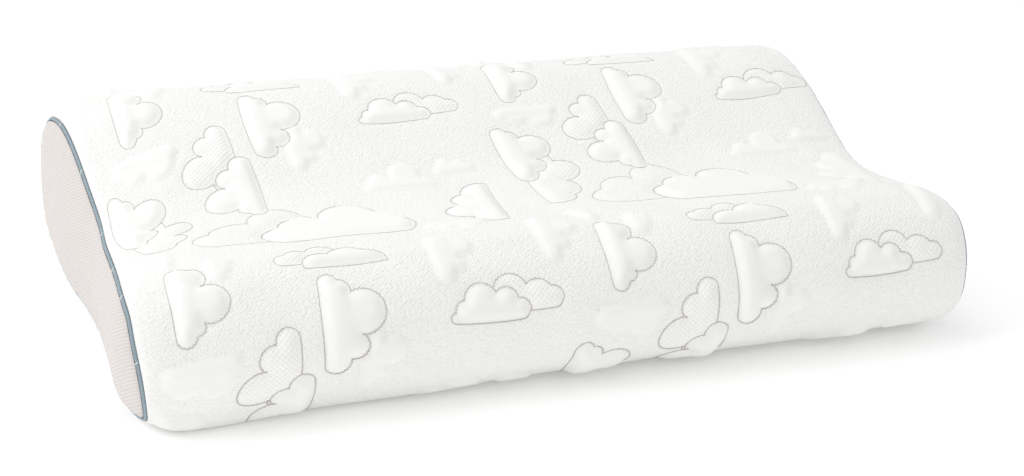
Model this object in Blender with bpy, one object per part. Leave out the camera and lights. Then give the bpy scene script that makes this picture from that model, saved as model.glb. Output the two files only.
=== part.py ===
"""Contoured gel pillow in a cloud-quilted knit cover, with gusseted and piped ends.

X runs along the pillow, Y from its low front roll to its tall back roll, and Z up.
The origin is on the floor, under the middle of the pillow.
"""
import math

import bmesh
import bpy
import numpy as np
from mathutils import Vector
from mathutils.geometry import delaunay_2d_cdt

MM = 0.001

# The body, from end seam to end seam
LENGTH = 600 * MM
DEPTH = 387 * MM

# One row for each place round the section, from the front heel up over the pillow and back underneath.
# across: from the front face. up: from the floor. crown: how far the ends swell out behind that place.
# left, right: how far that end's seam is drawn in. left_sink, right_sink: how far the cover rolls
# inwards on its way to that seam.
SECTION_COLUMNS = ("across", "up", "crown", "left", "left_sink", "right", "right_sink")
SECTION = (
    (42, 3, 6, 3, 4, -4, 4),
    (22, 11, 7, 5.5, 2, -5, 5),
    (7, 26, 7, 3.5, 6, -6, 8),
    (0, 50, 7, 1, 11, -5, 9),
    (6, 79, 7, -2, 12, -5, 9),
    (21, 96, 7, -2.5, 12, -6, 9),
    (40, 103.5, 7, -3, 12, -6.5, 9),
    (60, 104, 6.5, -2, 12, -6, 9),
    (98, 96.5, 5, 2, 11, -4, 9),
    (137, 89, 2.5, 5.5, 10, -3, 8),
    (163, 87, 1, 7, 10, -3, 8),
    (192, 91, 1, 9, 10, -4.5, 8),
    (224, 103, 3, 7.5, 11, -6, 8),
    (262, 119, 5, 5, 13, -7.5, 9),
    (290, 129, 6, 3, 16, -7, 10),
    (312, 132, 6, 1, 17, -6, 10),
    (335, 128.5, 6, -2, 17, -5, 10),
    (361, 112, 6, -3, 16, -5, 10),
    (379, 87, 6, -3, 14, -5, 10),
    (387, 55, 6, -3, 12, -5, 10),
    (383, 31, 6, -3, 9, -4, 9),
    (370, 11, 6, -3, 6, -3, 6),
    (348, 2, 6, -3, 5, -3, 5),
    (328, 0, 6, -3, 5, -3, 5),
    (260, 0, 3, -3.5, 5, -1, 5),
    (205, 0, 1, 2, 5, 0, 5),
    (165, 0, 1, 4, 5, 0, 5),
    (110, 0, 3, 2, 5, -2, 5),
    (66, 0, 6, 0, 5, -3, 5),
)

# How far either side of a place its direction is taken from
DIRECTION_REACH = 4 * MM

# The cover rolls over in a quarter of an ellipse towards each end seam, and is drawn in there
ROLL_REACH = {"left": 55 * MM, "right": 32 * MM}
ROLL_STEPS = 6
DRAW_REACH = 70 * MM

# Places where the filling pushes the cover out further, in mm: where along and round, the reach
# each way, and the height
BULGES = (
    (40, 16, 50, 16, 7.5),
    (150, 14, 90, 14, 4),
)
BULGE_FROM_SEAM = 20 * MM

# The middle line of each end stays this far from the front and back faces
SPINE_FROM_FRONT = 48 * MM
SPINE_FROM_BACK = 58 * MM
SPINE_TOP_SHARE = 0.4

# Each piping lies in a groove between the cover and its gusset, which starts where the groove ends
GROOVE_DEPTH = 2.2 * MM
GROOVE_EDGE = 0.2 * MM
GROOVE_WIDTH = 3.8 * MM
PIPING_RADIUS = 1.4 * MM
PIPING_CLEARANCE = 0.35 * MM
GUSSET_GAP = 0.5 * MM
GUSSET_THICKNESS = 2.2 * MM
GUSSET_RINGS = (0.18, 0.36, 0.60, 0.82)

# Spacing of the points of the mesh
DENSE_SAMPLES = 60
GIRTH_STEP = 13 * MM
FLAT_STEP = 34 * MM
LENGTH_STEP = 26 * MM
STAGGER = 6.5 * MM
SEAM_ZONE = 24 * MM
OUTLINE_STEP = 8 * MM
CLEAR_OF_OUTLINE = 8 * MM
CLEAR_OF_CREST = 5.5 * MM
JOIN_AFTER = 0.84
SAME_POINT = 0.3 * MM
WELD_DISTANCE = 0.03 * MM
SHARP_ANGLE = math.radians(40)

# Quilted clouds: the relief fades out towards the end seams and where the pillow lies on the floor
PUFF_RAMP = 5.5 * MM
CREST_SHARE = 0.9
FADE_FROM_SEAM = 15 * MM
FADE_ALONG = 26 * MM
FADE_HEIGHT = 16 * MM
PUFF_HEIGHT = {"plain": 3.4 * MM, "mesh": 2.0 * MM, "soft": 3.0 * MM}

# The quilting repeats along the pillow and round it
PITCH_ALONG = 298 * MM
PITCH_ROUND = 276 * MM
SHIFT_PER_ROW = 11 * MM
REPEATS_ALONG = range(-1, 3)
REPEATS_ROUND = range(-2, 4)
CLOUD_REACH = 150 * MM

# Where the cloth shifted as the cover was pulled on, in mm: where along and round, the reach each
# way, and how far the cloth moved along and round
PULLS = (
    (20, 302, 55, 68, -8, -44),
    (10, 45, 50, 45, -5, -26),
    (300, 40, 60, 45, -6, -12),
    (395, 245, 65, 70, 3, 17),
    (530, 372, 50, 40, -2, -8),
    (570, 100, 80, 50, -7, 0),
)

# Cloud shapes on a base from 0 to 1. One row for each arc: where it ends and how far it bulges,
# as a share of its chord. The first row is where the outline leaves the base.
CLOUD_SHAPES = {
    "heap": ((0.05, 0.0, 0), (0.02, 0.30, 0.45), (0.17, 0.47, 0.25), (0.60, 0.56, 0.70),
             (0.86, 0.40, 0.45), (0.95, 0.0, 0.45)),
    "loaf": ((0.07, 0.0, 0), (0.06, 0.40, 0.40), (0.38, 0.55, 0.38), (0.80, 0.50, 0.72),
             (0.92, 0.36, 0.35), (0.94, 0.0, 0.42)),
    "drift": ((0.04, 0.0, 0), (0.06, 0.28, 0.50), (0.17, 0.57, 0.30), (0.57, 0.72, 0.42),
              (0.84, 0.53, 0.35), (0.92, 0.0, 0.45)),
    "puff": ((0.10, 0.0, 0), (0.08, 0.50, 0.35), (0.51, 0.65, 0.45), (0.83, 0.55, 0.25),
             (0.92, 0.0, 0.42)),
    "tower": ((0.05, 0.0, 0), (0.12, 0.45, 0.30), (0.46, 0.58, 0.32), (0.90, 0.62, 0.50),
              (0.96, 0.0, 0.22)),
    "bough": ((0.05, 0.0, 0), (0.22, 0.62, 0.30), (0.52, 0.66, 0.55), (0.80, 0.58, 0.30),
              (0.95, 0.0, 0.30)),
    "low": ((0.0, 0.0, 0), (0.34, 0.62, 0.30), (0.74, 0.72, 0.28), (1.0, 0.0, 0.16)),
}

# The clouds of one repeat, from back to front where they overlap. along: from the left seam.
# round: up over the pillow from the front heel. turn: degrees from upright. Sizes in mm.
CLOUD_COLUMNS = ("shape", "kind", "along", "round", "length", "height", "turn", "mirror")
CLOUDS = (
    ("puff", "soft", 50, 162, 26, 28, -90, False),
    ("puff", "soft", 16, 190, 34, 24, -75, False),
    ("heap", "soft", 143, 90, 48, 34, -90, False),
    ("puff", "soft", 66, 88, 54, 26, 180, False),
    ("heap", "soft", 200, 160, 46, 36, -90, False),
    ("heap", "soft", 279, 172, 50, 34, -90, False),
    ("loaf", "soft", 200, 284, 58, 28, 0, False),
    ("puff", "soft", 258, 298, 32, 22, 0, False),
    ("drift", "soft", 262, 196, 50, 26, 180, False),
    ("tower", "soft", 63, 199, 90, 92, 0, False),
    ("loaf", "plain", 25, 154, 57, 35, -90, False),
    ("heap", "plain", 119, 126, 66, 43, -90, False),
    ("puff", "mesh", 233, 91, 54, 24, 0, False),
    ("drift", "plain", 206, 85, 57, 25, 0, False),
    ("heap", "mesh", 102, 32, 63, 38, 90, False),
    ("heap", "plain", 113, -3, 63, 41, 90, False),
    ("puff", "mesh", 96, 142, 48, 25, 0, True),
    ("low", "plain", 114, 137, 57, 23, 0, False),
    ("tower", "plain", 109, 189, 98, 96, 0, False),
    ("bough", "plain", 276, 186, 100, 36, 81, False),
    ("bough", "mesh", 326, 318, 99, 41, -92, False),
    ("heap", "plain", 312, 338, 63, 43, -85, False),
)

# Material: base colour, roughness
FINISHES = {
    "knit_cover": ((0.90, 0.90, 0.89), 0.85),
    "spacer_mesh": ((0.72, 0.68, 0.66), 0.80),
    "piping_cord": ((0.30, 0.38, 0.43), 0.70),
}

ENDS = (("left", -1), ("right", 1))


def closed_curve(points):
    """A smooth closed curve through the points, a row of DENSE_SAMPLES values for each stretch."""
    chord = np.hypot(*(np.roll(points, -1, axis=0) - points)[:, :2].T)
    slope = (np.roll(points, -1, axis=0) - points) / chord[:, None]
    before, ahead = np.roll(chord, 1)[:, None], chord[:, None]
    tangent = (np.roll(slope, 1, axis=0) * ahead + slope * before) / (before + ahead)
    t = np.linspace(0, 1, DENSE_SAMPLES, endpoint=False)[None, :, None]
    start, end = points[:, None], np.roll(points, -1, axis=0)[:, None]
    leave, arrive = (tangent * ahead)[:, None], (np.roll(tangent, -1, axis=0) * ahead)[:, None]
    curve = (start * (2 * t ** 3 - 3 * t ** 2 + 1) + leave * (t ** 3 - 2 * t ** 2 + t)
             + end * (3 * t ** 2 - 2 * t ** 3) + arrive * (t ** 3 - t ** 2))
    return curve.reshape(-1, points.shape[1])


class Section:
    """The pillow's outline from its end, measured round from the front heel."""

    def __init__(self):
        dense = closed_curve(np.array(SECTION, dtype=float) * MM)
        dense[:, 0] -= DEPTH / 2
        dense[:, 1] = np.maximum(dense[:, 1], 0)
        self.values = np.vstack([dense, dense[:1]])
        steps = np.hypot(*np.diff(self.values[:, :2], axis=0).T)
        self.distance = np.concatenate([[0], np.cumsum(steps)])
        self.girth = self.distance[-1]
        under = (self.distance > self.girth / 2) & (self.values[:, 1] <= 0)
        self.flat_start = self.distance[np.argmax(under)]

    def read(self, place, name):
        values = self.values[:, SECTION_COLUMNS.index(name)]
        return np.interp(np.mod(place, self.girth), self.distance, values)

    def at(self, place):
        """Place across, height, and the outward direction there."""
        ahead, behind = place + DIRECTION_REACH, place - DIRECTION_REACH
        rise = self.read(ahead, "up") - self.read(behind, "up")
        run = self.read(ahead, "across") - self.read(behind, "across")
        size = np.hypot(rise, run)
        return self.read(place, "across"), self.read(place, "up"), -rise / size, run / size

    def spine(self, place):
        """The point of the section's middle line that a place faces, and how far the end swells there."""
        y = np.clip(self.read(place, "across"), -DEPTH / 2 + SPINE_FROM_FRONT, DEPTH / 2 - SPINE_FROM_BACK)
        top = self.values[self.values[:, 1] > SPINE_TOP_SHARE * self.values[:, 1].max()]
        top = top[np.argsort(top[:, 0])]
        return y, np.interp(y, top[:, 0], top[:, 1]) / 2, np.interp(y, top[:, 0], top[:, 2])


def arc_points(start, end, bulge, step):
    """Points of an arc that bulges to the left of the way from start to end, without its end."""
    chord = end - start
    length = np.hypot(*chord)
    sagitta = bulge * length
    radius = (length ** 2 / 4 + sagitta ** 2) / (2 * sagitta)
    left = np.array([-chord[1], chord[0]]) / length
    centre = (start + end) / 2 - left * (radius - sagitta)
    half_angle = math.atan2(length / 2, radius - sagitta)
    count = max(2, round(2 * half_angle * radius / step))
    middle = math.atan2(left[1], left[0])
    angles = middle + half_angle - 2 * half_angle * np.arange(count) / count
    return centre + radius * np.stack([np.cos(angles), np.sin(angles)], axis=1)


def cloud_outline(row, step):
    """The closed outline of one cloud, on the cloth laid flat."""
    cloud = dict(zip(CLOUD_COLUMNS, row))
    size = np.array([cloud["length"], cloud["height"]]) * MM
    knots = CLOUD_SHAPES[cloud["shape"]]
    parts = []
    for before, after in zip(knots, knots[1:]):
        parts.append(arc_points(np.array(before[:2]) * size, np.array(after[:2]) * size, after[2], step))
    base_end, base_start = np.array(knots[-1][:2]) * size, np.array(knots[0][:2]) * size
    count = max(2, round(np.hypot(*(base_end - base_start)) / step))
    parts.append(base_end + (base_start - base_end) * (np.arange(count) / count)[:, None])
    outline = np.vstack(parts)
    if cloud["mirror"]:
        outline[:, 0] = size[0] - outline[:, 0]
    turn = math.radians(cloud["turn"])
    turned = outline @ np.array([[math.cos(turn), math.sin(turn)], [-math.sin(turn), math.cos(turn)]])
    return turned + np.array([cloud["along"] * MM - LENGTH / 2, cloud["round"] * MM])


def pulled(points):
    """Where points of the cut cloth come to lie on the pillow."""
    moved = points.copy()
    for along, round_it, reach, reach_round, by, by_round in np.array(PULLS) * MM:
        away = ((points[:, 0] + LENGTH / 2 - along) / reach) ** 2 + ((points[:, 1] - round_it) / reach_round) ** 2
        moved += np.exp(-away)[:, None] * np.array([by, by_round])
    return moved


def laid_clouds(section):
    """Every cloud on top of the pillow, as (kind, outline), from back to front."""
    laid = []
    for row in REPEATS_ROUND:
        for column in REPEATS_ALONG:
            shift = np.array([column * PITCH_ALONG + row * SHIFT_PER_ROW, row * PITCH_ROUND])
            for cloud in CLOUDS:
                outline = pulled(cloud_outline(cloud, OUTLINE_STEP) + shift)
                on_cover = np.abs(outline[:, 0]).min() < LENGTH / 2 - SEAM_ZONE
                if on_cover and outline[:, 1].min() > 0 and outline[:, 1].max() < section.flat_start:
                    laid.append((cloud[CLOUD_COLUMNS.index("kind")], outline))
    return sorted(laid, key=lambda cloud: cloud[0] != "soft")


def is_inside(points, outline):
    """Which points lie inside a closed outline."""
    crossing = np.zeros(len(points), dtype=bool)
    for start, end in zip(outline, np.roll(outline, -1, axis=0)):
        straddles = (start[1] > points[:, 1]) != (end[1] > points[:, 1])
        rise = end[1] - start[1] if end[1] != start[1] else 1.0
        meets = start[0] + (points[:, 1] - start[1]) / rise * (end[0] - start[0])
        crossing ^= straddles & (points[:, 0] < meets)
    return crossing


def distance_to(points, starts, ends):
    """Distance from each point to the nearest of the pieces of line."""
    nearest = np.full(len(points), LENGTH)
    for start, end in zip(starts, ends):
        way = end - start
        share = np.clip((points - start) @ way / (way @ way), 0, 1)
        nearest = np.minimum(nearest, np.hypot(*(points - start - share[:, None] * way).T))
    return nearest


def visible_lines(clouds):
    """The pieces of outline that no cloud in front hides."""
    starts, ends = [], []
    for index, (_, outline) in enumerate(clouds):
        ahead = np.roll(outline, -1, axis=0)
        seen = np.ones(len(outline), dtype=bool)
        for _, front in clouds[index + 1:]:
            if np.abs(front.mean(axis=0) - outline.mean(axis=0)).max() < CLOUD_REACH:
                seen &= ~(is_inside(outline, front) | is_inside(ahead, front))
        starts.append(outline[seen])
        ends.append(ahead[seen])
    return np.vstack(starts), np.vstack(ends)


def crest_points(clouds, starts, ends):
    """Points just inside each outline, where its puff reaches its full height."""
    kept = np.full((1, 2), LENGTH)
    for _, outline in clouds:
        way = np.roll(outline, -1, axis=0) - outline
        across = np.stack([-way[:, 1], way[:, 0]], axis=1) / np.hypot(*way.T)[:, None]
        for side in (-1, 1):
            inner = outline + way / 2 + side * PUFF_RAMP * across
            inner = inner[is_inside(inner, outline)]
            inner = inner[distance_to(inner, starts, ends) > CREST_SHARE * PUFF_RAMP]
            for point in inner:
                if np.hypot(*(kept - point).T).min() > CLEAR_OF_CREST:
                    kept = np.vstack([kept, point])
    return kept[1:]


def puff_heights(points, clouds, starts, ends):
    """How far the quilting lifts the cover at each point of the flat cloth."""
    height = np.zeros(len(points))
    for kind, outline in clouds:
        near = np.all((points > outline.min(axis=0)) & (points < outline.max(axis=0)), axis=1)
        chosen = np.flatnonzero(near)
        chosen = chosen[is_inside(points[chosen], outline)]
        height[chosen] = PUFF_HEIGHT[kind]
    raised = np.flatnonzero(height)
    height[raised] *= np.clip(distance_to(points[raised], starts, ends) / PUFF_RAMP, 0, 1)
    return height


def bulge(along, place):
    """How far the filling pushes the cover out at each point of the flat cloth."""
    height = np.zeros(len(along))
    for centre, round_it, reach, reach_round, high in np.array(BULGES) * MM:
        away = ((along + LENGTH / 2 - centre) / reach) ** 2 + ((place - round_it) / reach_round) ** 2
        height += high * np.exp(-away)
    return height * np.clip((LENGTH / 2 - np.abs(along)) / BULGE_FROM_SEAM, 0, 1)


def cover_points(section, along, place, lift):
    """Wrap points of the flat cloth round the section."""
    y, z, out_y, out_z = section.at(place)
    from_seam = LENGTH / 2 - np.abs(along)
    pull = np.clip(1 - from_seam / DRAW_REACH, 0, 1) ** 2
    rise = lift * np.clip(z / FADE_HEIGHT, 0, 1) * np.clip((from_seam - FADE_FROM_SEAM) / FADE_ALONG, 0, 1)
    rise += bulge(along, place)
    x = along.copy()
    for end, side in ENDS:
        here = along * side > 0
        roll = 1 - np.sqrt(1 - np.clip(1 - from_seam / ROLL_REACH[end], 0, 1) ** 2)
        rise -= np.where(here, section.read(place, end + "_sink") * roll, 0)
        x -= np.where(here, side * section.read(place, end) * pull, 0)
    return np.stack([x, y + out_y * rise, np.maximum(z + out_z * rise, 0)], axis=1)


def girth_places(section):
    """Places round the section: close together where it curves, far apart on the flat underside."""
    join = section.girth * JOIN_AFTER
    curved = np.linspace(0, section.flat_start, round(section.flat_start / GIRTH_STEP))
    flat_length = section.girth - section.flat_start
    flat = np.linspace(section.flat_start, section.girth, round(flat_length / FLAT_STEP))
    every = np.unique(np.concatenate([curved, flat]))
    return np.concatenate([every[every > join] - section.girth, every[every <= join][:-1]])


def cloth_mesh(section, places):
    """The flat cloth cut into triangles that follow the clouds: points, their lift, and faces."""
    rim = np.append(places, places[0] + section.girth)
    seams = SEAM_ZONE * (1 - np.cos(np.linspace(0, math.pi / 2, ROLL_STEPS)))[:-1]
    middle = LENGTH / 2 - SEAM_ZONE
    columns = np.linspace(-middle, middle, round(2 * middle / LENGTH_STEP))
    alongs = np.unique(np.concatenate([columns, seams - LENGTH / 2, LENGTH / 2 - seams]))
    grid = np.stack(np.meshgrid(alongs, rim, indexing="ij"), axis=2)
    inner_rows = np.zeros(grid.shape[:2], dtype=bool)
    inner_rows[len(seams) + 1:-len(seams) - 1, 1:-1] = True
    stagger = np.where(np.arange(len(rim)) % 2 == 0, STAGGER, -STAGGER)
    grid[:, :, 0] += np.where(inner_rows, stagger[None, :], 0)

    clouds = laid_clouds(section)
    starts, ends = visible_lines(clouds)
    keep_to = middle - CLEAR_OF_OUTLINE
    used = (np.abs(starts[:, 0]) < keep_to) & (np.abs(ends[:, 0]) < keep_to)
    starts, ends = starts[used], ends[used]
    crests = crest_points(clouds, starts, ends)
    crests = crests[np.abs(crests[:, 0]) < keep_to]
    free = grid[inner_rows]
    free = free[distance_to(free, starts, ends) > CLEAR_OF_OUTLINE]
    free = free[np.array([np.hypot(*(crests - p).T).min() > CLEAR_OF_CREST for p in free])]
    points = np.vstack([grid[~inner_rows], free, crests, starts, ends])
    offset = len(points) - 2 * len(starts)
    edges = [(offset + i, offset + len(starts) + i) for i in range(len(starts))]
    verts, _, faces, *_ = delaunay_2d_cdt([Vector(p) for p in points], edges, [], 0, SAME_POINT)
    flat = np.array([tuple(v) for v in verts])
    return flat, puff_heights(flat, clouds, starts, ends), faces


def end_ring(section, places, side, share=0.0, inset=0.0, outward=0.0):
    """A loop on a crowned end: from its seam a share of the way to the middle line, or an inset."""
    end = "left" if side < 0 else "right"
    y, z, out_y, out_z = section.at(places)
    sink = section.read(places, end + "_sink")
    seam_y, seam_z = y - out_y * sink, z - out_z * sink
    spine_y, spine_z, spine_crown = section.spine(places)
    share = share + inset / np.hypot(spine_y - seam_y, spine_z - seam_z)
    crown = section.read(places, "crown") * (1 - share) + spine_crown * share
    swell = crown * (1 - (1 - share) ** 2) - section.read(places, end) * (1 - share)
    return np.stack([side * (LENGTH / 2 + swell + outward), seam_y + (spine_y - seam_y) * share,
                     seam_z + (spine_z - seam_z) * share], axis=1)


def end_rings(section, places, side, outward):
    """The loops of a crowned end inside its piping, from the edge of the groove inwards."""
    rings = [end_ring(section, places, side, inset=GROOVE_WIDTH, outward=outward)]
    return rings + [end_ring(section, places, side, share, outward=outward) for share in GUSSET_RINGS]


def add_strip(bm, first, second):
    """Faces between two closed loops of vertices."""
    for i in range(len(first)):
        j = (i + 1) % len(first)
        bm.faces.new((first[i], first[j], second[j], second[i]))


def fill_slot(bm, loop):
    """Faces across a thin loop round the middle line, from its front end to its back end."""
    count = len(loop)
    front = min(range(count), key=lambda i: loop[i].co.y)
    back = max(range(count), key=lambda i: loop[i].co.y)
    one = [loop[(front + k) % count] for k in range((back - front) % count + 1)]
    other = [loop[(front - k) % count] for k in range((front - back) % count + 1)]
    i = j = 0
    while i + j < count - 1:
        if j == len(other) - 1 or i < len(one) - 1 and one[i + 1].co.y < other[j + 1].co.y:
            corners = one[i], one[i + 1], other[j]
            i += 1
        else:
            corners = one[i], other[j + 1], other[j]
            j += 1
        if len(set(corners)) == len(corners):
            bm.faces.new(corners)


def add_end(bm, rings):
    """Faces over a crowned end: strips between the loops and a filled slot in the middle."""
    loops = [[bm.verts.new(p) for p in ring] for ring in rings]
    for outer, inner in zip(loops, loops[1:]):
        add_strip(bm, outer, inner)
    fill_slot(bm, loops[-1])
    return loops[0]


def new_object(name, bm, finish):
    """Close up a mesh, turn its faces outwards and give it its finish."""
    bmesh.ops.remove_doubles(bm, verts=bm.verts, dist=WELD_DISTANCE)
    bmesh.ops.triangulate(bm, faces=[f for f in bm.faces if len(f.verts) > 3])
    bmesh.ops.recalc_face_normals(bm, faces=bm.faces)
    if bm.calc_volume(signed=True) < 0:
        bmesh.ops.reverse_faces(bm, faces=bm.faces)
    mesh = bpy.data.meshes.new(name)
    bm.to_mesh(mesh)
    bm.free()
    mesh.shade_smooth()
    mesh.set_sharp_from_angle(angle=SHARP_ANGLE)
    obj = bpy.data.objects.new(name, mesh)
    bpy.context.scene.collection.objects.link(obj)
    obj.data.materials.append(bpy.data.materials[finish])


def make_pillow(section, places):
    """The filled body in its quilted cover, with a groove for each piping."""
    flat, lift, faces = cloth_mesh(section, places)
    bm = bmesh.new()
    verts = [bm.verts.new(p) for p in cover_points(section, flat[:, 0], flat[:, 1], lift)]
    for face in faces:
        bm.faces.new([verts[i] for i in face])
    for _, side in ENDS:
        groove = [end_ring(section, places, side, inset=inset, outward=-GROOVE_DEPTH)
                  for inset in (GROOVE_EDGE, GROOVE_WIDTH - GROOVE_EDGE)]
        seam = end_ring(section, places, side)
        add_end(bm, [seam, *groove, *end_rings(section, places, side, 0)])
    new_object("pillow", bm, "knit_cover")


def make_gusset(section, places, name, side):
    """A thin crowned panel over one end, inside its piping."""
    bm = bmesh.new()
    rims = [add_end(bm, end_rings(section, places, side, outward))
            for outward in (GUSSET_GAP, GUSSET_GAP + GUSSET_THICKNESS)]
    add_strip(bm, *rims)
    new_object(name, bm, "spacer_mesh")


def make_piping(section, places, name, side):
    """A round cord that lies in the groove all the way round one end."""
    lift = PIPING_RADIUS + PIPING_CLEARANCE - GROOVE_DEPTH
    path = end_ring(section, places, side, inset=GROOVE_WIDTH / 2, outward=lift)
    curve = bpy.data.curves.new(name, "CURVE")
    curve.dimensions = "3D"
    curve.bevel_depth = PIPING_RADIUS
    curve.bevel_resolution = 1
    spline = curve.splines.new("POLY")
    spline.points.add(len(path) - 1)
    for point, place in zip(spline.points, path):
        point.co = (*place, 1)
    spline.use_cyclic_u = True
    obj = bpy.data.objects.new(name, curve)
    bpy.context.scene.collection.objects.link(obj)
    curve.materials.append(bpy.data.materials["piping_cord"])


def make_materials():
    for name, (colour, roughness) in FINISHES.items():
        material = bpy.data.materials.new(name)
        material.use_nodes = True
        shader = material.node_tree.nodes["Principled BSDF"]
        shader.inputs["Base Color"].default_value = (*colour, 1)
        shader.inputs["Roughness"].default_value = roughness
        shader.inputs["Metallic"].default_value = 0


def main():
    for obj in list(bpy.data.objects):
        bpy.data.objects.remove(obj)
    make_materials()
    section = Section()
    places = girth_places(section)
    make_pillow(section, places)
    for end, side in ENDS:
        make_gusset(section, places, "gusset_" + end, side)
        make_piping(section, places, "piping_" + end, side)


main()
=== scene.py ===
"""Dresses the contoured gel pillow: its quilted knit cover, the outline thread round the clouds,
the mesh gussets, the piping with its stitches, and a plain stage."""

import math
from functools import partial

import bmesh
import bpy
import numpy as np
from bpy.props import FloatProperty, FloatVectorProperty, PointerProperty
from mathutils import Matrix, Vector
from mathutils.bvhtree import BVHTree
from mathutils.geometry import barycentric_transform


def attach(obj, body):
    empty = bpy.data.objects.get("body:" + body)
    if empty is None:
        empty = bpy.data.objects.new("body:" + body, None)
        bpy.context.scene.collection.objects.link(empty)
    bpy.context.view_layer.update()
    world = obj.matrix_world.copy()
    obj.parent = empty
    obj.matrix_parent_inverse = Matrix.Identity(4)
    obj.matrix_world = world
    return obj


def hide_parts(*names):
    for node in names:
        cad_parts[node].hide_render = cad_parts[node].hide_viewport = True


bl_info = {
    "name": "Gel pillow dressing",
    "version": (1, 0, 0),
    "blender": (4, 5, 0),
    "location": "View3D > Sidebar > Gel pillow",
    "description": "Builds the cover, gussets, piping and stage of a contoured gel pillow",
    "category": "Add Mesh",
}

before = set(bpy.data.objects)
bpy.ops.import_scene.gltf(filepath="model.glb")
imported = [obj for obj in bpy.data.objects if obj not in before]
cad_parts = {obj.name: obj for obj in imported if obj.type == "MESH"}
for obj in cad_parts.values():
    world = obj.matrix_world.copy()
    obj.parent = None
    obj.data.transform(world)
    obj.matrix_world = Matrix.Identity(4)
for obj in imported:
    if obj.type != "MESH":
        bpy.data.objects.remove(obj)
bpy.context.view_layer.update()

MM = 0.001
ENDS = (("left", -1), ("right", 1))

# The body as it is cut: from end seam to end seam, and from front face to back face
LENGTH = 600 * MM
DEPTH = 387 * MM

# One row for each place round the section, from the front heel up over the pillow and back underneath.
# across: from the front face. up: from the floor. crown: how far the ends swell out behind that place.
# left, right: how far that end's seam is drawn in. left_sink, right_sink: how far the cover rolls
# inwards on its way to that seam.
SECTION_COLUMNS = ("across", "up", "crown", "left", "left_sink", "right", "right_sink")
SECTION = (
    (42, 3, 6, 3, 4, -4, 4),
    (22, 11, 7, 5.5, 2, -5, 5),
    (7, 26, 7, 3.5, 6, -6, 8),
    (0, 50, 7, 1, 11, -5, 9),
    (6, 79, 7, -2, 12, -5, 9),
    (21, 96, 7, -2.5, 12, -6, 9),
    (40, 103.5, 7, -3, 12, -6.5, 9),
    (60, 104, 6.5, -2, 12, -6, 9),
    (98, 96.5, 5, 2, 11, -4, 9),
    (137, 89, 2.5, 5.5, 10, -3, 8),
    (163, 87, 1, 7, 10, -3, 8),
    (192, 91, 1, 9, 10, -4.5, 8),
    (224, 103, 3, 7.5, 11, -6, 8),
    (262, 119, 5, 5, 13, -7.5, 9),
    (290, 129, 6, 3, 16, -7, 10),
    (312, 132, 6, 1, 17, -6, 10),
    (335, 128.5, 6, -2, 17, -5, 10),
    (361, 112, 6, -3, 16, -5, 10),
    (379, 87, 6, -3, 14, -5, 10),
    (387, 55, 6, -3, 12, -5, 10),
    (383, 31, 6, -3, 9, -4, 9),
    (370, 11, 6, -3, 6, -3, 6),
    (348, 2, 6, -3, 5, -3, 5),
    (328, 0, 6, -3, 5, -3, 5),
    (260, 0, 3, -3.5, 5, -1, 5),
    (205, 0, 1, 2, 5, 0, 5),
    (165, 0, 1, 4, 5, 0, 5),
    (110, 0, 3, 2, 5, -2, 5),
    (66, 0, 6, 0, 5, -3, 5),
)
STRETCH_POINTS = 60

# The slope of the outline is taken over this length each way, and the outline above this share of the
# pillow's height is its top
SLOPE_REACH = 4 * MM
TOP_FROM = 0.4

# The cover rolls over in a quarter of an ellipse towards each end seam, and is drawn in there. Its own
# join runs along the underside, after this share of the girth.
ROLL_REACH = {"left": 55 * MM, "right": 32 * MM}
DRAW_REACH = 70 * MM
JOIN_AFTER = 0.84

# Places where the filling pushes the cover out further, in mm: where along and round, the reach
# each way, and the height
BULGES = (
    (40, 16, 50, 16, 7.5),
    (150, 14, 90, 14, 4),
)
BULGE_FROM_SEAM = 20 * MM

# Each piping lies in a groove between the cover and its gusset, which starts where the groove ends
GROOVE_DEPTH = 2.2 * MM
GROOVE_EDGE = 0.2 * MM
GROOVE_WIDTH = 3.8 * MM
GUSSET_GAP = 0.5 * MM
GUSSET_THICKNESS = 2.2 * MM

# The middle line of each end stops short of the front and of the back
SPINE_FROM_FRONT = 48 * MM
SPINE_FROM_BACK = 58 * MM

# The quilting repeats along the pillow and round it, often enough to cover the whole cloth
PITCH_ALONG = 298 * MM
PITCH_ROUND = 276 * MM
SHIFT_PER_ROW = 11 * MM
REPEATS_ALONG = range(-1, 3)
REPEATS_ROUND = range(-1, 4)

# Where the cloth shifted as the cover was pulled on, in mm: where along and round, the reach each
# way, and how far the cloth moved along and round
PULLS = (
    (20, 302, 55, 68, -8, -44),
    (10, 45, 50, 45, -5, -26),
    (300, 40, 60, 45, -6, -12),
    (395, 245, 65, 70, 3, 17),
    (530, 372, 50, 40, -2, -8),
    (570, 100, 80, 50, -7, 0),
)

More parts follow.
